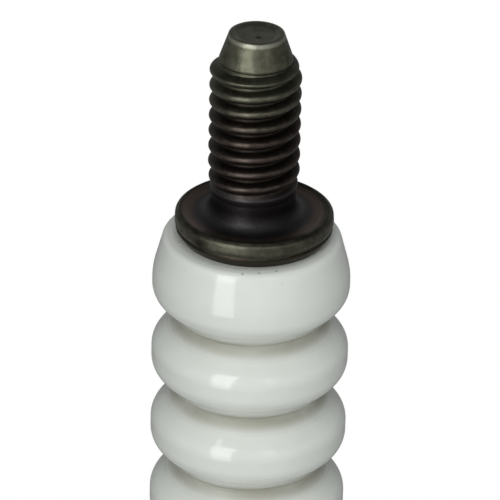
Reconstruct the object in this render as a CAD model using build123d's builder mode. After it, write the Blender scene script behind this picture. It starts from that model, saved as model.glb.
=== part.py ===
"""Spark plug with a ribbed porcelain insulator and a bare M4 terminal stud.

Millimetres, +Z along the plug's axis towards the terminal stud. The origin is on the axis,
in the plane of the shell's seat, where the gasket bears.
"""

import os

from build123d import *

os.makedirs("parts", exist_ok=True)

# Threads: external 60 degree profile, crest an eighth of the pitch, root a quarter
shell_pitch = 1.0
shell_crest_r = 4.95
stud_pitch = 0.7
stud_crest_r = 1.92
thread_depth_ratio = 0.541
root_share = 1 / 4
groove_overshoot = 0.04
flank_slope = 0.57735

# Insulator head: ribs below a conical top
insulator_top = 36.0
bore_r = 1.55
head_edge_r = 3.73
head_cone_drop = 1.67
head_edge_fillet = 0.3
head_cone_fillet = 3.0
rib_r = 4.18
rib_pitch = 3.5
first_groove_drop = 3.795
groove_count = 5
groove_root_r = 3.13
groove_half_width = 1.165
groove_root_half_width = 0.1
groove_fillet = 0.1
rib_fillet = 0.9
barrel_r = 4.5

# Insulator inside the shell
barrel_end = 10.6
shoulder_r = 5.7
shoulder_top = 9.6
shoulder_bottom = 2.6
body_r = 3.4
body_top = 1.0
body_bottom = -7.5
seat_inner_r = 2.8
seat_slope = 4 / 3
nose_root_r = 2.5
nose_root = -8.9
nose_tip_r = 1.85
nose_tip = -20.5
nose_fillet = 0.3
electrode_bore_r = 1.02
bore_step_top = -4.4
bore_step_bottom = -5.0

# Terminal stud, heights above the insulator's top face
flange_r = 3.355
flange_rim_height = 0.68
flange_foot_r = 3.08
flange_height = 1.18
neck_r = 1.77
neck_fillet = 0.7
thread_start = 2.45
thread_end = 7.9
neck_step = 0.15
cone_base = 8.16
cone_base_r = 1.54
stud_tip = 9.34
stud_tip_r = 1.14
tip_dish_r = 0.85
tip_dish_depth = 0.12
tip_fillet = 0.08
shank_r = 1.45
shank_end = 9.4
pin_end_r = 1.2
pin_end = 7.2
pin_groove_pitch = 0.6
pin_groove_depth = 0.15
pin_groove_count = 3

# Conductive stack in the insulator's bore
upper_glass_bottom = 6.0
resistor_bottom = -0.5
electrode_head_top = -2.6
electrode_head_r = 0.9
electrode_collar_r = 1.45
electrode_r = 0.98
electrode_tip = -21.5
electrode_tip_chamfer = 0.15
core_r = 0.55
core_tip = -20.2

# Shell, heights above the seat plane
reach = 19.0
thread_chamfer = 0.65
thread_lead = 0.5
thread_entry = 0.8
thread_overrun = 0.9
relief_r = 4.3
relief_bottom = -1.7
collar_r = 7.25
collar_top = 4.5
seat_face_r = 6.7
skirt_r = 6.75
hex_bottom = 7.5
hex_top = 13.5
hex_across_flats = 16.0
hex_chamfer_r = 7.9
hex_chamfer_width = 2.3
hex_chamfer_height = 1.15
crimp_r = 7.0
crimp_top = 15.8
crimp_shoulder = 15.2
crimp_fillet = 1.4
crimp_mouth_r = 4.75
crimp_inner_fillet = 0.5
crimp_roof = 14.6
crimp_lip = 15.0
chamber_r = 5.85
chamber_bottom = 2.3
shell_bore_r = 3.55
shell_bore_top = 0.6
ledge_cone_top = -8.0
ledge_r = 2.95
ledge_bottom = -10.3
mouth_cone_drop = 0.5
mouth_r = 3.35

# Rings between the insulator and the shell
packing_inner_r = 3.0
packing_outer_r = 3.35
wire_r = 0.6
wire_centre_r = (barrel_r + chamber_r) / 2
upper_wire_height = 13.95
lower_wire_height = 11.0
ring_gap = 0.02

# Seat gasket, a folded steel ring held loosely between the seat and the thread
gasket_inner_r = 4.6
gasket_outer_r = 6.6
gasket_height = 1.4
gasket_bottom = -1.95
gasket_fillet = 0.45
gasket_fold_depth = 0.5
gasket_fold_width = 0.16

# Ground electrode, a strap welded to the shell's end face
strap_thickness = 1.05
strap_width = 2.3
strap_centre_r = 3.87
spark_gap = 0.7
strap_bend_r = 1.4
strap_end_r = 1.0

# How far cuts run past the solid they trim, and how close a picked corner must lie
cut_margin = 1.0
pick_margin = 0.01


def thread_groove(pitch):
    """Corner points of a thread's groove, seen across the helix, from its root outwards."""
    depth = thread_depth_ratio * pitch
    root_half = root_share * pitch / 2
    mouth_half = root_half + (depth + groove_overshoot) * flank_slope
    return [
        (-depth, -root_half),
        (groove_overshoot, -mouth_half),
        (groove_overshoot, mouth_half),
        (-depth, root_half),
    ]


ledge_cone_bottom = ledge_cone_top - (shell_bore_r - ledge_r) * seat_slope
seat_bottom = body_bottom - (body_r - seat_inner_r) * seat_slope

with BuildPart() as insulator:
    with BuildSketch(Plane.XZ) as outline:
        with BuildLine():
            Polyline(
                (0, insulator_top),
                (head_edge_r, insulator_top),
                (rib_r, insulator_top - head_cone_drop),
                (rib_r, insulator_top - first_groove_drop - (groove_count - 1) * rib_pitch),
                (barrel_r, insulator_top - first_groove_drop - (groove_count - 1) * rib_pitch),
                (barrel_r, barrel_end),
                (shoulder_r, shoulder_top),
                (shoulder_r, shoulder_bottom),
                (body_r, body_top),
                (body_r, body_bottom),
                (seat_inner_r, seat_bottom),
                (nose_root_r, nose_root),
                (nose_tip_r, nose_tip),
                (0, nose_tip),
                close=True,
            )
        make_face()
        head_edge = outline.vertices().sort_by(Axis.Y)[-2:].sort_by(Axis.X)[-1]
        fillet(head_edge, head_edge_fillet)
        nose_edge = outline.vertices().sort_by(Axis.Y)[:2].sort_by(Axis.X)[-1]
        fillet(nose_edge, nose_fillet)
        cone_level = insulator_top - head_cone_drop
        cone_foot = outline.vertices().filter_by_position(
            Axis.Y, cone_level - pick_margin, cone_level + pick_margin
        )
        fillet(cone_foot, head_cone_fillet)
    revolve(axis=Axis.Z)
    for index in range(groove_count):
        groove_z = insulator_top - first_groove_drop - index * rib_pitch
        flank = (groove_half_width - groove_root_half_width) / (rib_r - groove_root_r)
        outer_r = barrel_r + cut_margin
        outer_half = groove_half_width + flank * (outer_r - rib_r)
        with BuildSketch(Plane.XZ) as groove:
            with BuildLine():
                Polyline(
                    (groove_root_r, groove_z - groove_root_half_width),
                    (outer_r, groove_z - outer_half),
                    (outer_r, groove_z + outer_half),
                    (groove_root_r, groove_z + groove_root_half_width),
                    close=True,
                )
            make_face()
            fillet(groove.vertices().group_by(Axis.X)[0], groove_fillet)
        revolve(axis=Axis.Z, mode=Mode.SUBTRACT)
    head_bottom = insulator_top - first_groove_drop - groove_count * rib_pitch
    rib_edges = (
        insulator.edges()
        .filter_by(GeomType.CIRCLE)
        .filter_by_position(Axis.Z, head_bottom, cone_level - head_cone_fillet / 2)
        .filter_by(lambda edge: edge.radius > rib_r - pick_margin)
    )
    fillet(rib_edges, rib_fillet)
    with BuildSketch(Plane.XZ):
        with BuildLine():
            Polyline(
                (0, insulator_top + cut_margin),
                (bore_r, insulator_top + cut_margin),
                (bore_r, bore_step_top),
                (electrode_bore_r, bore_step_bottom),
                (electrode_bore_r, nose_tip - cut_margin),
                (0, nose_tip - cut_margin),
                close=True,
            )
        make_face()
    revolve(axis=Axis.Z, mode=Mode.SUBTRACT)
insulator.part.label = "insulator"
export_step(insulator.part, "parts/insulator.step")

with BuildPart() as terminal_stud:
    with BuildSketch(Plane.XZ) as outline:
        with BuildLine():
            Polyline((flange_foot_r, insulator_top), (0, insulator_top), (0, insulator_top + stud_tip))
            Polyline(
                (0, insulator_top + stud_tip),
                (stud_tip_r, insulator_top + stud_tip),
                (cone_base_r, insulator_top + cone_base),
                (stud_crest_r, insulator_top + thread_end),
                (stud_crest_r, insulator_top + thread_start),
                (neck_r, insulator_top + thread_start - neck_step),
                (neck_r, insulator_top + flange_height),
                (flange_foot_r, insulator_top + flange_height),
            )
            ThreePointArc(
                (flange_foot_r, insulator_top + flange_height),
                (flange_r, insulator_top + flange_rim_height),
                (flange_foot_r, insulator_top),
            )
        make_face()
        flange_level = insulator_top + flange_height
        flange_top = outline.vertices().filter_by_position(
            Axis.Y, flange_level - pick_margin, flange_level + pick_margin
        )
        fillet(flange_top.sort_by(Axis.X)[0], neck_fillet)
        fillet(outline.vertices().sort_by(Axis.Y)[-2:].sort_by(Axis.X)[-1], tip_fillet)
    revolve(axis=Axis.Z)
    with BuildSketch(Plane.XZ):
        with BuildLine():
            dish_rim = (tip_dish_r, insulator_top + stud_tip)
            dish_floor = (0, insulator_top + stud_tip - tip_dish_depth)
            Polyline(dish_floor, dish_rim, (0, insulator_top + stud_tip), close=True)
        make_face()
    revolve(axis=Axis.Z, mode=Mode.SUBTRACT)
    with BuildSketch(Plane.XZ):
        with BuildLine():
            Polyline(
                (0, insulator_top),
                (shank_r, insulator_top),
                (shank_r, shank_end),
                (pin_end_r, shank_end),
                (pin_end_r, pin_end),
                (0, pin_end),
                close=True,
            )
        make_face()
        for index in range(pin_groove_count):
            with Locations((pin_end_r, pin_end + (index + 1) * pin_groove_pitch)):
                Rectangle(2 * pin_groove_depth, pin_groove_pitch / 2, mode=Mode.SUBTRACT)
    revolve(axis=Axis.Z)
    with BuildLine() as thread_path:
        Helix(
            pitch=stud_pitch,
            height=cone_base - thread_start,
            radius=stud_crest_r,
            center=(0, 0, insulator_top + thread_start + stud_pitch / 2),
        )
    with BuildSketch(Plane(thread_path.line @ 0, x_dir=(1, 0, 0), z_dir=thread_path.line % 0)):
        with BuildLine():
            Polyline(*thread_groove(stud_pitch), close=True)
        make_face()
    sweep(path=thread_path.line, is_frenet=True, mode=Mode.SUBTRACT)
terminal_stud.part.label = "terminal_stud"
export_step(terminal_stud.part, "parts/terminal_stud.step")

with BuildPart() as upper_glass_seal:
    with BuildSketch(Plane.XZ):
        with BuildLine():
            Polyline(
                (0, upper_glass_bottom),
                (bore_r, upper_glass_bottom),
                (bore_r, shank_end),
                (0, shank_end),
                close=True,
            )
        make_face()
        with BuildLine():
            Polyline(
                (0, pin_end), (pin_end_r, pin_end), (pin_end_r, shank_end), (0, shank_end), close=True
            )
        make_face(mode=Mode.SUBTRACT)
        for index in range(pin_groove_count):
            with Locations((pin_end_r, pin_end + (index + 1) * pin_groove_pitch)):
                tooth = (pin_groove_depth, pin_groove_pitch / 2)
                Rectangle(*tooth, align=(Align.MAX, Align.CENTER))
    revolve(axis=Axis.Z)
upper_glass_seal.part.label = "upper_glass_seal"
export_step(upper_glass_seal.part, "parts/upper_glass_seal.step")

with BuildPart() as resistor:
    with BuildSketch(Plane.XY.offset(resistor_bottom)):
        Circle(bore_r)
    extrude(amount=upper_glass_bottom - resistor_bottom)
resistor.part.label = "resistor"
export_step(resistor.part, "parts/resistor.step")

with BuildPart() as lower_glass_seal:
    with BuildSketch(Plane.XY.offset(bore_step_top)):
        Circle(bore_r)
    extrude(amount=resistor_bottom - bore_step_top)
    with BuildSketch(Plane.XY.offset(bore_step_top)):
        Circle(electrode_head_r)
    extrude(amount=electrode_head_top - bore_step_top, mode=Mode.SUBTRACT)
lower_glass_seal.part.label = "lower_glass_seal"
export_step(lower_glass_seal.part, "parts/lower_glass_seal.step")

with BuildPart() as center_electrode:
    with BuildSketch(Plane.XZ):
        with BuildLine():
            Polyline(
                (0, electrode_head_top),
                (electrode_head_r, electrode_head_top),
                (electrode_head_r, bore_step_top),
                (electrode_collar_r, bore_step_top),
                (electrode_r, bore_step_bottom),
                (electrode_r, electrode_tip + electrode_tip_chamfer),
                (electrode_r - electrode_tip_chamfer, electrode_tip),
                (0, electrode_tip),
                close=True,
            )
        make_face()
    revolve(axis=Axis.Z)
    with BuildSketch(Plane.XY.offset(core_tip)):
        Circle(core_r)
    extrude(amount=electrode_head_top - core_tip, mode=Mode.SUBTRACT)
center_electrode.part.label = "center_electrode"
export_step(center_electrode.part, "parts/center_electrode.step")

with BuildPart() as electrode_copper_core:
    with BuildSketch(Plane.XY.offset(core_tip)):
        Circle(core_r)
    extrude(amount=electrode_head_top - core_tip)
electrode_copper_core.part.label = "electrode_copper_core"
export_step(electrode_copper_core.part, "parts/electrode_copper_core.step")

with BuildPart() as shell:
    with BuildSketch(Plane.XY.offset(-reach - thread_lead)):
        Circle(shell_crest_r)
    extrude(amount=reach + relief_bottom + 2 * thread_lead)
    with BuildLine() as thread_path:
        Helix(
            pitch=shell_pitch,
            height=reach + thread_overrun,
            radius=shell_crest_r,
            center=(0, 0, -reach - thread_lead - thread_entry),
        )
    with BuildSketch(Plane(thread_path.line @ 0, x_dir=(1, 0, 0), z_dir=thread_path.line % 0)):
        with BuildLine():
            Polyline(*thread_groove(shell_pitch), close=True)
        make_face()
    sweep(path=thread_path.line, is_frenet=True, mode=Mode.SUBTRACT)
    trim_r = shell_crest_r + cut_margin
    with BuildSketch(Plane.XZ):
        with BuildLine():
            Polyline(
                (0, -reach),
                (shell_crest_r - thread_chamfer, -reach),
                (trim_r, thread_chamfer + cut_margin - reach),
                (trim_r, -reach - cut_margin),
                (0, -reach - cut_margin),
                close=True,
            )
        make_face()
        with BuildLine():
            Polyline(
                (relief_r, 0),
                (relief_r, relief_bottom),
                (trim_r, relief_bottom + relief_r - trim_r),
                (trim_r, 0),
                close=True,
            )
        make_face()
    revolve(axis=Axis.Z, mode=Mode.SUBTRACT)
    with BuildSketch(Plane.XZ) as outline:
        with BuildLine():
            Polyline(
                (0, relief_bottom),
                (relief_r, relief_bottom),
                (relief_r, 0),
                (seat_face_r, 0),
                (collar_r, collar_r - seat_face_r),
                (collar_r, collar_top),
                (skirt_r, collar_top + collar_r - skirt_r),
                (skirt_r, hex_bottom),
                (crimp_r, hex_top),
                (crimp_r, crimp_shoulder),
                (crimp_mouth_r, crimp_top),
                (0, crimp_top),
                close=True,
            )
        make_face()
        crimp_corner = outline.vertices().sort_by(Axis.Y)[-3]
        fillet(crimp_corner, crimp_fillet)
    revolve(axis=Axis.Z)
    with BuildSketch(Plane.XY.offset(hex_bottom)):
        RegularPolygon(radius=hex_across_flats / 2, side_count=6, major_radius=False)
    extrude(amount=hex_top - hex_bottom)
    with BuildSketch(Plane.XZ):
        for level, inward in ((hex_bottom, 1), (hex_top, -1)):
            with BuildLine():
                Polyline(
                    (hex_chamfer_r, level),
                    (hex_chamfer_r + hex_chamfer_width, level),
                    (hex_chamfer_r + hex_chamfer_width, level + inward * hex_chamfer_height),
                    close=True,
                )
            make_face()
    revolve(axis=Axis.Z, mode=Mode.SUBTRACT)
    with BuildSketch(Plane.XZ) as bore:
        with BuildLine():
            Polyline(
                (0, crimp_top + cut_margin),
                (crimp_mouth_r, crimp_top + cut_margin),
                (crimp_mouth_r, crimp_lip),
                (chamber_r, crimp_roof),
                (chamber_r, chamber_bottom),
                (shell_bore_r, shell_bore_top),
                (shell_bore_r, ledge_cone_top),
                (ledge_r, ledge_cone_bottom),
                (ledge_r, ledge_bottom),
                (mouth_r, ledge_bottom - mouth_cone_drop),
                (mouth_r, -reach - cut_margin),
                (0, -reach - cut_margin),
                close=True,
            )
        make_face()
        fillet(bore.vertices().group_by(Axis.X)[-1].sort_by(Axis.Y)[-1], crimp_inner_fillet)
    revolve(axis=Axis.Z, mode=Mode.SUBTRACT)
shell.part.label = "shell"
export_step(shell.part, "parts/shell.step")

with BuildPart() as ground_electrode:
    strap_floor = electrode_tip - spark_gap - strap_thickness / 2
    with BuildLine() as strap_path:
        FilletPolyline(
            (strap_centre_r, 0, -reach),
            (strap_centre_r, 0, strap_floor),
            (-strap_end_r, 0, strap_floor),
            radius=strap_bend_r,
        )
    with BuildSketch(Plane.XY.offset(-reach)):
        with Locations((strap_centre_r, 0)):
            Rectangle(strap_thickness, strap_width)
    sweep(path=strap_path.line)
ground_electrode.part.label = "ground_electrode"
export_step(ground_electrode.part, "parts/ground_electrode.step")

with BuildPart() as packing_washer:
    with BuildSketch(Plane.XZ):
        with BuildLine():
            Polyline(
                (packing_inner_r, body_bottom - (body_r - packing_inner_r) * seat_slope),
                (packing_outer_r, body_bottom - (body_r - packing_outer_r) * seat_slope),
                (packing_outer_r, ledge_cone_top - (shell_bore_r - packing_outer_r) * seat_slope),
                (packing_inner_r, ledge_cone_top - (shell_bore_r - packing_inner_r) * seat_slope),
                close=True,
            )
        make_face()
    revolve(axis=Axis.Z)
packing_washer.part.label = "packing_washer"
export_step(packing_washer.part, "parts/packing_washer.step")

with BuildPart() as lower_wire_ring:
    with BuildSketch(Plane.XZ):
        with Locations((wire_centre_r, lower_wire_height)):
            Circle(wire_r)
    revolve(axis=Axis.Z)
lower_wire_ring.part.label = "lower_wire_ring"
export_step(lower_wire_ring.part, "parts/lower_wire_ring.step")

with BuildPart() as upper_wire_ring:
    with BuildSketch(Plane.XZ):
        with Locations((wire_centre_r, upper_wire_height)):
            Circle(wire_r)
    revolve(axis=Axis.Z)
upper_wire_ring.part.label = "upper_wire_ring"
export_step(upper_wire_ring.part, "parts/upper_wire_ring.step")

with BuildPart() as talc_ring:
    with BuildSketch(Plane.XZ):
        with BuildLine():
            Polyline(
                (barrel_r + ring_gap, lower_wire_height),
                (chamber_r - ring_gap, lower_wire_height),
                (chamber_r - ring_gap, upper_wire_height),
                (barrel_r + ring_gap, upper_wire_height),
                close=True,
            )
        make_face()
        with Locations((wire_centre_r, lower_wire_height), (wire_centre_r, upper_wire_height)):
            Circle(wire_r + ring_gap, mode=Mode.SUBTRACT)
    revolve(axis=Axis.Z)
talc_ring.part.label = "talc_ring"
export_step(talc_ring.part, "parts/talc_ring.step")

with BuildPart() as seat_gasket:
    with BuildSketch(Plane.XZ) as section:
        with Locations(((gasket_inner_r + gasket_outer_r) / 2, gasket_bottom + gasket_height / 2)):
            Rectangle(gasket_outer_r - gasket_inner_r, gasket_height)
        fillet(section.vertices(), gasket_fillet)
        with Locations((gasket_inner_r, gasket_bottom + gasket_height / 2)):
            Rectangle(2 * gasket_fold_depth, gasket_fold_width, mode=Mode.SUBTRACT)
    revolve(axis=Axis.Z)
seat_gasket.part.label = "seat_gasket"
export_step(seat_gasket.part, "parts/seat_gasket.step")
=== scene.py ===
"""The looks of the spark plug: turned meshes for what shows, materials, studio and camera.

Lengths are in millimetres until a mesh is made. Heights on the stud and the insulator's head
are counted from the insulator's top face, and all others from the shell's seat.
"""

import math

import bpy
from mathutils import Matrix, Vector


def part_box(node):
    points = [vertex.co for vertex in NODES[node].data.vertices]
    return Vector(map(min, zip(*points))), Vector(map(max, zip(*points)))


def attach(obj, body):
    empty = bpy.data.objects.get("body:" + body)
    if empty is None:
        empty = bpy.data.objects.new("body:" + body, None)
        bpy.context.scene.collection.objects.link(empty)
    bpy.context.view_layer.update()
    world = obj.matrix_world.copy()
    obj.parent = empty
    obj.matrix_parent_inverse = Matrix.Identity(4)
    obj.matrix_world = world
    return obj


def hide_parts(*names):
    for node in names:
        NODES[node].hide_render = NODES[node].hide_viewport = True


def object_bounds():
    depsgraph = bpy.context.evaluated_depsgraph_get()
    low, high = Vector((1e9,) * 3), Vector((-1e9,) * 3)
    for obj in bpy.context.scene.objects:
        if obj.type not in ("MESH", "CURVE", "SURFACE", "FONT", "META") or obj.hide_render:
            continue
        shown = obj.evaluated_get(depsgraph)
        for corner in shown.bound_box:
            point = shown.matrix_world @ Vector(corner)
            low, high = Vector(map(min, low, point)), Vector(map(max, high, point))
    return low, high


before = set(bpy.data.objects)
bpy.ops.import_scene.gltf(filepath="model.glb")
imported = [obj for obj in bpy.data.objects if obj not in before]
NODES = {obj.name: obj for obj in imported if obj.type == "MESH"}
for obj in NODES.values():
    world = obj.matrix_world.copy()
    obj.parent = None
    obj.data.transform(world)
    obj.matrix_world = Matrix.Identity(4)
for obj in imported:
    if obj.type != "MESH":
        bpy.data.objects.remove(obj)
cad_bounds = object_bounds()

MM = 0.001
FULL_TURN = 2 * math.pi
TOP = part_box("insulator")[1][2] / MM
SEGMENTS = 192
FEWEST_ARC_STEPS = 3
ON_AXIS = 1e-6


# ---------------------------------------------------------------- outlines


def rounded(points, chord):
    """A line through (radius, height, fillet) points, with each corner as an arc."""
    line = []
    for index, (r, z, fillet) in enumerate(points):
        here = Vector((r, z))
        if fillet == 0 or index in (0, len(points) - 1):
            line.append(here)
            continue
        before = Vector(points[index - 1][:2]) - here
        after = Vector(points[index + 1][:2]) - here
        before.normalize()
        after.normalize()
        half = before.angle(after) / 2
        centre = here + (before + after).normalized() * (fillet / math.sin(half))
        start = here + before * (fillet / math.tan(half)) - centre
        end = here + after * (fillet / math.tan(half)) - centre
        sweep = start.angle_signed(end)
        steps = max(FEWEST_ARC_STEPS, int(abs(sweep) * fillet / chord) + 1)
        for step in range(steps + 1):
            spoke = start.copy()
            spoke.rotate(Matrix.Rotation(-sweep * step / steps, 2))
            line.append(centre + spoke)
    return [(p.x, p.y) for p in line]


def divided(line, step):
    """The same line with no two points further apart than step."""
    result = [line[0]]
    for (r0, z0), (r1, z1) in zip(line, line[1:]):
        count = max(1, math.ceil(math.hypot(r1 - r0, z1 - z0) / step))
        for i in range(1, count + 1):
            result.append((r0 + (r1 - r0) * i / count, z0 + (z1 - z0) * i / count))
    return result


def turned(name, line, shape=None):
    """A lathe mesh from an outline of (radius, height). An outline that ends on the axis is
    closed there, and any other is closed on itself. shape(r, z, angle) gives a new radius."""
    verts, faces, rings = [], [], []
    for r, z in line:
        height = (z + TOP) * MM
        if r < ON_AXIS:
            rings.append([len(verts)])
            verts.append((0, 0, height))
            continue
        ring = []
        for s in range(SEGMENTS):
            angle = FULL_TURN * s / SEGMENTS
            radius = shape(r, z, angle) if shape else r
            ring.append(len(verts))
            verts.append((radius * math.cos(angle) * MM, radius * math.sin(angle) * MM, height))
        rings.append(ring)
    pairs = list(zip(rings, rings[1:]))
    if line[0][0] > ON_AXIS and line[-1][0] > ON_AXIS:
        pairs.append((rings[-1], rings[0]))
    for low, high in pairs:
        for s in range(SEGMENTS):
            t = (s + 1) % SEGMENTS
            if len(low) == 1:
                faces.append((low[0], high[t], high[s]))
            elif len(high) == 1:
                faces.append((low[s], low[t], high[0]))
            else:
                faces.append((low[s], low[t], high[t], high[s]))
    mesh = bpy.data.meshes.new(name)
    mesh.from_pydata(verts, [], faces)
    mesh.update()
    mesh.shade_smooth()
    piece = bpy.data.objects.new(name, mesh)
    bpy.context.scene.collection.objects.link(piece)
    return piece


def smooth(edge0, edge1, x):
    """0 below edge0, 1 above edge1, and a soft step between."""
    t = min(1.0, max(0.0, (x - edge0) / (edge1 - edge0)))
    return t * t * (3 - 2 * t)


# ---------------------------------------------------------------- shader nodes


class Shader:
    """A material's node tree, with short calls for the nodes that the materials share."""

    def __init__(self, name):
        self.material = bpy.data.materials.new(name)
        self.material.use_nodes = True
        self.tree = self.material.node_tree
        self.bsdf = self.tree.nodes["Principled BSDF"]
        coords = self.node("TexCoord")
        scale = self.node("VectorMath", "SCALE")
        scale.inputs["Scale"].default_value = 1 / MM
        self.feed(scale.inputs[0], coords.outputs["Object"])
        self.place = scale.outputs[0]
        split = self.node("SeparateXYZ")
        self.feed(split.inputs[0], self.place)
        self.height = split.outputs["Z"]
        flat = self.node("CombineXYZ")
        for axis in "XY":
            self.feed(flat.inputs[axis], split.outputs[axis])
        length = self.node("VectorMath", "LENGTH")
        self.feed(length.inputs[0], flat.outputs[0])
        self.radius = length.outputs["Value"]

    def node(self, kind, operation=None):
        node = self.tree.nodes.new("ShaderNode" + kind)
        if operation:
            node.operation = operation
        return node

    def feed(self, socket, value):
        if isinstance(value, bpy.types.NodeSocket):
            self.tree.links.new(value, socket)
        else:
            socket.default_value = value

    def math(self, operation, a, b):
        node = self.node("Math", operation)
        self.feed(node.inputs[0], a)
        self.feed(node.inputs[1], b)
        return node.outputs[0]

    def times(self, product, *factors):
        for factor in factors:
            product = self.math("MULTIPLY", product, factor)
        return product

    def step(self, value, low, high, out_low=0.0, out_high=1.0):
        """out_low below low, out_high above high, and a soft step between."""
        node = self.node("MapRange")
        node.interpolation_type = "SMOOTHSTEP"
        self.feed(node.inputs["Value"], value)
        node.inputs["From Min"].default_value = low
        node.inputs["From Max"].default_value = high
        node.inputs["To Min"].default_value = out_low
        node.inputs["To Max"].default_value = out_high
        return node.outputs["Result"]

    def fall(self, value, low, high):
        """1 below low, 0 above high, and a soft step between."""
        return self.step(value, low, high, 1.0, 0.0)

    def band(self, value, low, high, soft):
        """1 from low to high and 0 elsewhere, with ends that are soft both ways."""
        rise = self.step(value, low - soft, low + soft)
        return self.times(rise, self.fall(value, high - soft, high + soft))

    def noise(self, scale, detail, roughness, stretch=None):
        node = self.node("TexNoise")
        vector = self.place
        if stretch:
            product = self.node("VectorMath", "MULTIPLY")
            self.feed(product.inputs[0], self.place)
            product.inputs[1].default_value = stretch
            vector = product.outputs[0]
        self.feed(node.inputs["Vector"], vector)
        node.inputs["Scale"].default_value = scale
        node.inputs["Detail"].default_value = detail
        node.inputs["Roughness"].default_value = roughness
        return node.outputs["Fac"]

    def near(self, point, reach):
        """1 at a point in millimetres, falling to 0 at reach."""
        node = self.node("VectorMath", "DISTANCE")
        self.feed(node.inputs[0], self.place)
        node.inputs[1].default_value = point
        return self.fall(node.outputs["Value"], 0.0, reach)

    def mix(self, amount, a, b):
        node = self.node("Mix")
        node.data_type = "RGBA"
        self.feed(node.inputs["Factor"], amount)
        self.feed(node.inputs["A"], a if isinstance(a, bpy.types.NodeSocket) else (*a, 1))
        self.feed(node.inputs["B"], b if isinstance(b, bpy.types.NodeSocket) else (*b, 1))
        return node.outputs["Result"]

    def layers(self, base, *coats):
        """The base colour under coats of (amount, colour), the last one on top."""
        for amount, colour in coats:
            base = self.mix(amount, base, colour)
        return base

    def finish(self, colour, roughness, relief, depth, metallic):
        """Feeds the surface. Relief is depth millimetres high where it goes from 0 to 1."""
        self.feed(self.bsdf.inputs["Base Color"], colour)
        self.feed(self.bsdf.inputs["Roughness"], roughness)
        self.bsdf.inputs["Metallic"].default_value = metallic
        bump = self.node("Bump")
        bump.inputs["Distance"].default_value = depth * MM
        self.feed(bump.inputs["Height"], relief)
        self.feed(self.bsdf.inputs["Normal"], bump.outputs["Normal"])
        return self.material


def over_top(*heights):
    """Heights above the insulator's top face, as counted from the shell's seat."""
    return tuple(TOP + height for height in heights)


# ---------------------------------------------------------------- porcelain

GLAZE = ((0.775, 0.815, 0.765), (0.80, 0.84, 0.79))
GLAZE_IOR = 1.5
GLOSS, DULLNESS = 0.08, 0.42
DULL_RADII = (3.3, 3.7)
# Painted shade in the insulator's grooves: a darker, yellower grey below a radius, over the ribbed
# length
GROOVE_SHADE = (0.37, 0.365, 0.30)
GROOVE_SHADE_RADII = (3.13, 3.60)
GROOVE_SHADE_HEIGHTS = (17.0, TOP - 2.0)
# A blotchy ring of painted shade on the glaze round the flange's foot
FOOT_SHADE = (0.30, 0.31, 0.29)
FOOT_SHADE_RADII = (3.15, 3.42)
SPECK = (0.22, 0.21, 0.19)
# Specks on the glaze beside the flange: (place, reach, strength)
GLAZE_SPECKS = (
    ((-0.36, -3.60, TOP), 0.09, 0.9),
    ((0.32, -3.50, TOP), 0.08, 0.9),
    ((1.03, -3.30, TOP), 0.10, 0.8),
    ((1.27, -3.58, TOP - 0.42), 0.07, 0.8),
)


def porcelain():
    """Glaze with painted shade in the grooves, a blotchy ring of painted shade round the flange's
    foot, and specks beside the flange.
    """
    s = Shader("porcelain")
    cloud = s.noise(scale=0.5, detail=3.0, roughness=0.5)
    blotch = s.noise(scale=3.0, detail=5.0, roughness=0.7)
    ripple = s.noise(scale=0.9, detail=2.0, roughness=0.5)
    # painted shade in the grooves, in clouds
    groove = s.fall(s.radius, *GROOVE_SHADE_RADII)
    ribbed = s.band(s.height, *GROOVE_SHADE_HEIGHTS, soft=0.5)
    groove_shade = s.times(groove, ribbed, s.step(cloud, 0.2, 0.6, 0.6, 0.9))
    # painted shade on the glaze round the flange's foot, in blotches
    foot = s.times(s.fall(s.radius, *FOOT_SHADE_RADII), s.step(s.height, TOP - 0.1, TOP))
    foot_shade = s.times(foot, s.step(blotch, 0.3, 0.6, 0.1, 0.35))
    specks = [
        (s.times(s.near(place, reach), strength), SPECK) for place, reach, strength in GLAZE_SPECKS
    ]
    glaze = s.mix(s.step(cloud, 0.3, 0.7), *GLAZE)
    colour = s.layers(glaze, (groove_shade, GROOVE_SHADE), (foot_shade, FOOT_SHADE), *specks)
    dull = s.math("MAXIMUM", foot_shade, s.fall(s.radius, *DULL_RADII))
    roughness = s.step(dull, 0.0, 1.0, GLOSS, DULLNESS)
    s.bsdf.inputs["IOR"].default_value = GLAZE_IOR
    return s.finish(colour, roughness, relief=ripple, depth=0.012, metallic=0.0)


# ---------------------------------------------------------------- heat-tinted stud

# Two near colours each, for the darker and the lighter mottling
OLIVE = ((0.095, 0.096, 0.068), (0.155, 0.157, 0.115))
BROWN = ((0.046, 0.034, 0.029), (0.092, 0.076, 0.066))
RIM = ((0.070, 0.068, 0.050), (0.135, 0.132, 0.100))
TIP = ((0.27, 0.27, 0.215), (0.38, 0.38, 0.31))
RIM_GLINT = (0.19, 0.185, 0.15)
RIM_UNDERSIDE = (0.042, 0.036, 0.023)
# Painted shade in the thread's valleys and in the crease at the cone's foot
THREAD_VALLEY_SHADE = (0.022, 0.017, 0.014)
CONE_FOOT_SHADE = (0.015, 0.015, 0.011)
RUNOUT = (0.050, 0.047, 0.048)
# Painted shade on the neck, and a painted highlight on the fillet between the neck and the dish
NECK_SHADE = (0.020, 0.018, 0.019)
FILLET_HIGHLIGHT = (0.105, 0.103, 0.108)
DISH_EDGE_TINT = (0.26, 0.20, 0.165)
STAIN = (0.018, 0.013, 0.010)
# Painted shade in the tip's dimple
DIMPLE_SHADE = (0.03, 0.03, 0.022)
RIM_STAIN = (-2.23, -2.49, TOP + 0.66)
STAIN_REACH = 0.6
TIP_DIMPLE = (0.06, -0.30, TOP + 9.25)
DIMPLE_REACH = 0.24
MOTTLING = (0.35, 0.65)


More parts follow.
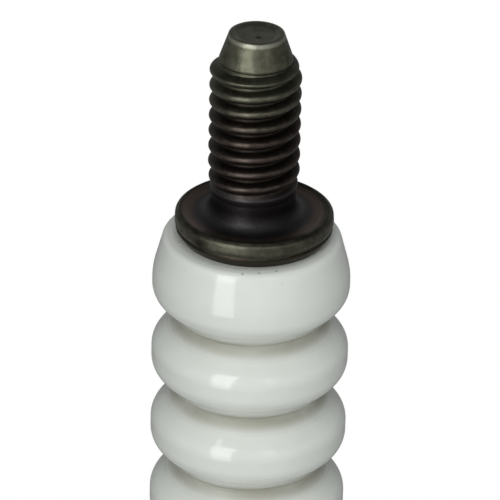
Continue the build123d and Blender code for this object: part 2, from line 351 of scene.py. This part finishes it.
def stud_metal():
    """Brown below and olive above, with painted shade in the thread's valleys, at the cone's foot,
    on the neck and in the tip's dimple, a painted highlight on the dish's fillet, a tinted dish
    and a stained rim.
    """
    s = Shader("stud_metal")
    mottle = s.noise(scale=2.2, detail=6.0, roughness=0.65)
    grain = s.noise(scale=14.0, detail=4.0, roughness=0.7)
    mottling = s.step(mottle, *MOTTLING)

    heat = s.step(s.height, *over_top(5.2, 7.4))
    metal = s.mix(heat, s.mix(mottling, *BROWN), s.mix(mottling, *OLIVE))
    threaded = s.band(s.height, *over_top(2.4, 7.75), soft=0.1)
    fading = s.step(s.height, *over_top(6.4, 7.6), 0.92, 0.45)
    # painted shade in the thread's valleys, lighter towards the top
    valley_shade = s.times(s.fall(s.radius, 1.58, 1.89), threaded, fading)
    # painted shade in the crease at the cone's foot
    cone_foot_shade = s.times(s.band(s.height, *over_top(8.10, 8.17), soft=0.02), 0.85)
    runout = s.band(s.height, *over_top(2.1, 2.55), soft=0.15)

    flange = s.fall(s.height, *over_top(1.9, 2.45))
    dish = s.times(flange, s.fall(s.radius, 2.9, 3.12))
    # the dish: painted shade on the neck, a painted highlight on the fillet, and the heat tint
    # towards the rim
    dish_tint_and_light = s.mix(s.step(s.radius, 1.8, 2.1), NECK_SHADE, FILLET_HIGHLIGHT)
    dish_tint_and_light = s.mix(s.step(s.radius, 2.3, 2.8), dish_tint_and_light, DISH_EDGE_TINT)

    rim = s.times(flange, s.step(s.radius, 2.95, 3.10))
    rim_colour = s.layers(
        s.mix(s.step(mottle, 0.3, 0.7), *RIM),
        (s.step(grain, 0.55, 0.75), RIM_GLINT),
        (s.fall(s.height, *over_top(0.38, 0.50)), RIM_UNDERSIDE),
    )
    streak = s.step(mottle, 0.3, 0.6, 0.5, 1.0)
    seam = s.times(s.band(s.height, *over_top(0.42, 0.52), soft=0.06), streak)
    stain = s.times(s.math("MAXIMUM", seam, s.near(RIM_STAIN, STAIN_REACH)), rim)

    colour = s.layers(
        metal,
        (valley_shade, THREAD_VALLEY_SHADE),
        (cone_foot_shade, CONE_FOOT_SHADE),
        (runout, RUNOUT),
        (dish, dish_tint_and_light),
        (rim, rim_colour),
        (stain, STAIN),
        (s.step(s.height, *over_top(9.10, 9.20)), s.mix(mottling, *TIP)),
        # painted shade in the tip's dimple
        (s.near(TIP_DIMPLE, DIMPLE_REACH), DIMPLE_SHADE),
    )
    relief = s.math("ADD", s.times(grain, 0.5), mottle)
    return s.finish(colour, s.step(grain, 0.3, 0.7, 0.33, 0.48), relief, depth=0.02, metallic=1.0)


# ---------------------------------------------------------------- other materials

SECOND_SHADE = 0.86
SCUFF_STRETCH = (1, 1, 4)
SCUFF_ROUGHENING = 0.16
CLOUD_ROUGHENING = 0.1
THREAD_SHADE_DEPTH = 0.35


def plated_steel(name, colour, shade, rough, thread_r):
    """Plated steel: shade fills hollows below thread_r, and fine scuffs lie all over."""
    s = Shader(name)
    cloud = s.noise(scale=0.35, detail=4.0, roughness=0.6)
    scuff = s.noise(scale=1.2, detail=6.0, roughness=0.7, stretch=SCUFF_STRETCH)
    plate = s.mix(s.step(cloud, 0.3, 0.7), colour, tuple(SECOND_SHADE * c for c in colour))
    hollow = s.step(s.radius, thread_r - THREAD_SHADE_DEPTH, thread_r, 0.75, 0.0)
    roughness = s.step(scuff, 0.3, 0.75, rough, rough + SCUFF_ROUGHENING)
    return s.finish(s.mix(hollow, plate, shade), roughness, scuff, depth=0.006, metallic=1.0)


def plain(name, colour, other, rough, metallic, scale):
    """A material of two near colours in clouds, for the electrodes and the sealed pieces."""
    s = Shader(name)
    cloud = s.noise(scale, detail=5.0, roughness=0.6)
    roughness = s.step(cloud, 0.3, 0.7, rough, rough + CLOUD_ROUGHENING)
    return s.finish(s.mix(cloud, colour, other), roughness, cloud, depth=0.02, metallic=metallic)


# ---------------------------------------------------------------- terminal stud

STUD_TIP = 9.34
THREAD_PITCH = 0.70
THREAD_DEPTH = 0.36
CREST_R = 1.92
ROOT_FLOOR = 1.53
ROOT_FADE = 0.12
THREAD_START = (2.28, 3.0)
# A thread's section is a round wave in one share and a flatter, steeper one in the other
ROUND_SHARE = 0.55
STEEP_SHARE = 0.45
STEEP_FLANK = (0.16, 0.44)
FRONT_CREST = 2.93
FRONT = -math.pi / 2
NECK_TOP = 2.2
FLANGE_SHIFT = 0.07
FLANGE_SHIFT_RADII = (2.0, 2.8)
STUD_CHORD = 0.03
# From the flange's underside up to the tip: (radius, height, fillet)
STUD_OUTLINE = (
    # the flange's underside and rim, with a seam round it
    (1.4, 0.0, 0),
    (3.03, 0.0, 0.12),
    (3.33, 0.42, 0.12),
    (3.25, 0.53, 0.06),
    (3.352, 0.66, 0.25),
    (3.325, 1.06, 0.20),
    (3.14, 1.20, 0.08),
    # the flange's dish, the fillet and the neck
    (2.75, 1.10, 0.3),
    (1.79, 1.04, 0.66),
    (1.77, 2.10, 0.2),
    # the thread's crests
    (1.85, 2.42, 0.2),
    (CREST_R, 3.10, 0.2),
    (CREST_R, 7.80, 0.12),
    # the cone and the dish in its tip
    (1.62, 8.10, 0.03),
    (1.56, 8.10, 0.02),
    (1.555, 8.16, 0.02),
    (1.15, STUD_TIP, 0.07),
    (0.98, STUD_TIP, 0.06),
    (0.80, STUD_TIP - 0.07, 0.1),
    (0.0, STUD_TIP - 0.10, 0),
)


def thread_dip(phase):
    """How deep a thread's section lies, 0 on the crest and 1 at the root, for phase 0 to 1
    from one crest to the next. The crest is rounded, and the root is a narrower hollow."""
    off = abs(phase - round(phase))
    wave = (1 - math.cos(FULL_TURN * off)) / 2
    return ROUND_SHARE * wave + STEEP_SHARE * smooth(*STEEP_FLANK, off)


def stud_shape(r, z, angle):
    """The radius with the thread's helix, or with the flange pressed a little to one side."""
    if z < NECK_TOP:
        return r + FLANGE_SHIFT * math.cos(angle) * smooth(*FLANGE_SHIFT_RADII, r)
    turn = (angle - FRONT) / FULL_TURN
    phase = (z - FRONT_CREST) / THREAD_PITCH - turn
    depth = THREAD_DEPTH * smooth(*THREAD_START, z) * smooth(0.0, ROOT_FADE, r - ROOT_FLOOR)
    return max(min(r, ROOT_FLOOR), r - depth * thread_dip(phase))


def make_stud():
    line = divided(rounded(STUD_OUTLINE, STUD_CHORD), STUD_CHORD)
    stud = turned("terminal_stud_visual", [(0.0, 0.0)] + line, shape=stud_shape)
    stud.data.materials.append(stud_metal())
    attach(stud, "plug")
    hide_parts("terminal_stud")


# ---------------------------------------------------------------- insulator

RIB_R = 4.18
ROOT_R = 3.13
BARREL_R = 4.5
BORE_R = 1.5
GROOVES = 5
FIRST_GROOVE = -3.795
RIB_PITCH = 3.5
GROOVE_HALF = 1.165
ROOT_HALF = 0.1
RIB_FILLET = 0.9
ROOT_FILLET = 0.1
INSULATOR_CHORD = 0.05
INSULATOR_STEP = 0.4
# The bore's mouth, the top face and the first rib's shoulder: (radius, height, fillet)
HEAD_OUTLINE = ((BORE_R, 0.0, 0), (3.73, 0.0, 0.3), (RIB_R, -1.67, 3.0))
# The barrel, the body, the firing nose and the bore, in heights from the shell's seat
BODY_OUTLINE = (
    (BARREL_R, 10.6, 0),
    (5.7, 9.6, 0.3),
    (5.7, 2.6, 0.3),
    (3.4, 1.0, 0.3),
    (3.4, -7.5, 0.1),
    (2.8, -8.3, 0.1),
    (2.5, -8.9, 0.2),
    (1.85, -20.5, 0.3),
    (1.0, -20.5, 0.05),
    (1.0, -5.0, 0),
    (BORE_R, -4.4, 0),
)
BORE_END = (BORE_R, -0.01, 0)


def make_insulator():
    outline = list(HEAD_OUTLINE)
    flank = (GROOVE_HALF - ROOT_HALF) / (RIB_R - ROOT_R)
    for index in range(GROOVES):
        centre = FIRST_GROOVE - RIB_PITCH * index
        below = BARREL_R if index == GROOVES - 1 else RIB_R
        half = GROOVE_HALF + flank * (below - RIB_R)
        outline += [
            (RIB_R, centre + GROOVE_HALF, RIB_FILLET),
            (ROOT_R, centre + ROOT_HALF, ROOT_FILLET),
            (ROOT_R, centre - ROOT_HALF, ROOT_FILLET),
            (below, centre - half, RIB_FILLET),
        ]
    outline += [(r, z - TOP, fillet) for r, z, fillet in BODY_OUTLINE]
    outline.append(BORE_END)
    line = divided(rounded(outline, INSULATOR_CHORD), INSULATOR_STEP)
    insulator = turned("insulator_visual", line)
    insulator.data.materials.append(porcelain())
    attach(insulator, "plug")
    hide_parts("insulator")


make_stud()
make_insulator()

# ---------------------------------------------------------------- CAD nodes that stay

SHELL_SHADE_R = 4.9
GASKET_SHADE_R = 4.7
# (material's name, colour, shade in hollows, roughness, radius that hollows lie below)
PLATED = {
    "shell": ("shell_steel", (0.56, 0.55, 0.52), (0.10, 0.09, 0.08), 0.26, SHELL_SHADE_R),
    "seat_gasket": ("gasket_steel", (0.60, 0.59, 0.54), (0.12, 0.11, 0.10), 0.30, GASKET_SHADE_R),
}
# Nodes, and (material's name, colour, second colour, roughness, metallic, scale of clouds)
PLAIN = {
    ("center_electrode", "ground_electrode"): (
        ("electrode_nickel", (0.42, 0.40, 0.37), (0.50, 0.48, 0.44), 0.34, 1.0, 2.0)
    ),
    ("packing_washer", "upper_wire_ring", "lower_wire_ring"): (
        ("packing_steel", (0.35, 0.35, 0.35), (0.45, 0.45, 0.45), 0.35, 1.0, 2.0)
    ),
    ("electrode_copper_core",): (
        ("core_copper", (0.72, 0.38, 0.24), (0.66, 0.33, 0.20), 0.3, 1.0, 3.0)
    ),
    ("talc_ring",): ("talc", (0.80, 0.79, 0.75), (0.72, 0.71, 0.67), 0.8, 0.0, 6.0),
    ("upper_glass_seal", "lower_glass_seal"): (
        ("seal_glass", (0.05, 0.045, 0.04), (0.09, 0.08, 0.075), 0.3, 0.0, 4.0)
    ),
    ("resistor",): ("resistor_carbon", (0.03, 0.03, 0.03), (0.06, 0.06, 0.06), 0.7, 0.0, 8.0),
}


def dress(node, material):
    for material_slot in NODES[node].material_slots:
        material_slot.material = material


for node, looks in PLATED.items():
    dress(node, plated_steel(*looks))
for nodes, looks in PLAIN.items():
    material = plain(*looks)
    for node in nodes:
        dress(node, material)

# ---------------------------------------------------------------- studio

TARGET = Vector((-0.08, 0.0, TOP - 0.788)) * MM
ELEVATION = math.radians(28.0)
ROLL = math.radians(1.3)
DISTANCE = 202.0 * MM
LENS = 345.6
SENSOR = 36.0
NEAREST, FURTHEST = 0.01, 20.0
WHITE = (1, 1, 1, 1)
FLOOR = cad_bounds[0][2]
FLOOR_HALF_SIDE = 3.0
FLOOR_COLOUR = (0.5, 0.5, 0.49, 1)
FLOOR_ROUGHNESS = 0.8
FLOOR_GLOW = 0.08
# The room's brightness falls from the horizon up, and from the front to the back:
# (axis, from, to, brightness there)
ROOM_FADES = (("Z", 0.0, 0.75, 0.6, 0.09), ("Y", -0.6, 0.4, 1.0, 0.45))
# Panels: (name, azimuth, elevation, distance, width, height, radiance)
MIRRORED_PANELS = (
    ("key_panel", -30, 27, 110, 46, 96, 4.0),
    ("key_apron", -30, -8, 110, 46, 50, 2.6),
    ("fill_panel", 26, 27, 110, 26, 70, 1.6),
)
LIGHTING_PANELS = (
    ("soft_panel", -6, 28, 400, 320, 320, 2.85),
    ("top_panel", 0, 74, 400, 320, 320, 1.1),
)


def make_camera():
    data = bpy.data.cameras.new("camera")
    data.lens = LENS
    data.sensor_width = SENSOR
    data.clip_start = NEAREST
    data.clip_end = FURTHEST
    camera = bpy.data.objects.new("camera", data)
    bpy.context.scene.collection.objects.link(camera)
    back = Vector((0.0, -math.cos(ELEVATION), math.sin(ELEVATION)))
    camera.location = TARGET + back * DISTANCE
    aim = (-back).to_track_quat("-Z", "Y").to_matrix()
    camera.rotation_euler = (aim @ Matrix.Rotation(ROLL, 3, "Z")).to_euler()
    bpy.context.scene.camera = camera


def make_panel(name, azimuth, elevation, distance, width, height, radiance):
    """A light panel that faces the plug's head. azimuth 0 stands before the camera."""
    data = bpy.data.lights.new(name, "AREA")
    data.shape = "RECTANGLE"
    data.size = width * MM
    data.size_y = height * MM
    data.energy = radiance * math.pi * data.size * data.size_y
    panel = bpy.data.objects.new(name, data)
    bpy.context.scene.collection.objects.link(panel)
    turn, rise = math.radians(azimuth), math.radians(elevation)
    outward = Vector(
        (math.sin(turn) * math.cos(rise), -math.cos(turn) * math.cos(rise), math.sin(rise))
    )
    panel.location = (outward * distance + Vector((0, 0, TOP))) * MM
    panel.rotation_euler = outward.to_track_quat("Z", "Y").to_euler()
    panel.visible_camera = False
    return panel


def camera_switch(tree, seen, unseen):
    """A shader that is one thing straight before the lens and another in light and mirrors."""
    paths = tree.nodes.new("ShaderNodeLightPath")
    choose = tree.nodes.new("ShaderNodeMixShader")
    tree.links.new(paths.outputs["Is Camera Ray"], choose.inputs[0])
    tree.links.new(unseen.outputs[0], choose.inputs[1])
    tree.links.new(seen.outputs[0], choose.inputs[2])
    return choose.outputs[0]


def make_floor():
    """White to the lens, and a pale grey with a faint glow for what it lights."""
    side = FLOOR_HALF_SIDE
    mesh = bpy.data.meshes.new("floor")
    corners = [(-side, -side), (side, -side), (side, side), (-side, side)]
    mesh.from_pydata([(x, y, FLOOR) for x, y in corners], [], [(0, 1, 2, 3)])
    floor = bpy.data.objects.new("floor", mesh)
    bpy.context.scene.collection.objects.link(floor)
    material = bpy.data.materials.new("floor")
    material.use_nodes = True
    tree = material.node_tree
    bsdf = tree.nodes["Principled BSDF"]
    bsdf.inputs["Base Color"].default_value = FLOOR_COLOUR
    bsdf.inputs["Roughness"].default_value = FLOOR_ROUGHNESS
    bsdf.inputs["Emission Color"].default_value = WHITE
    bsdf.inputs["Emission Strength"].default_value = FLOOR_GLOW
    seen = tree.nodes.new("ShaderNodeEmission")
    seen.inputs["Color"].default_value = WHITE
    surface = camera_switch(tree, seen, bsdf)
    tree.links.new(surface, tree.nodes["Material Output"].inputs["Surface"])
    mesh.materials.append(material)


def make_world():
    """White behind the plug, and for its light a dim room that is brighter to the front."""
    world = bpy.data.worlds.new("studio")
    bpy.context.scene.world = world
    world.use_nodes = True
    tree = world.node_tree
    background = tree.nodes["Background"]
    coords = tree.nodes.new("ShaderNodeTexCoord")
    split = tree.nodes.new("ShaderNodeSeparateXYZ")
    tree.links.new(coords.outputs["Generated"], split.inputs[0])
    product = tree.nodes.new("ShaderNodeMath")
    product.operation = "MULTIPLY"
    for index, (axis, low, high, start, end) in enumerate(ROOM_FADES):
        fade = tree.nodes.new("ShaderNodeMapRange")
        fade.interpolation_type = "SMOOTHSTEP"
        fade.inputs["From Min"].default_value = low
        fade.inputs["From Max"].default_value = high
        fade.inputs["To Min"].default_value = start
        fade.inputs["To Max"].default_value = end
        tree.links.new(split.outputs[axis], fade.inputs["Value"])
        tree.links.new(fade.outputs["Result"], product.inputs[index])
    tree.links.new(product.outputs[0], background.inputs["Color"])
    seen = tree.nodes.new("ShaderNodeBackground")
    seen.inputs["Color"].default_value = WHITE
    surface = camera_switch(tree, seen, background)
    tree.links.new(surface, tree.nodes["World Output"].inputs["Surface"])


make_camera()
make_floor()
make_world()
for panel in MIRRORED_PANELS:
    make_panel(*panel).visible_diffuse = False
for panel in LIGHTING_PANELS:
    make_panel(*panel).visible_glossy = False
bpy.context.scene.view_settings.view_transform = "Standard"
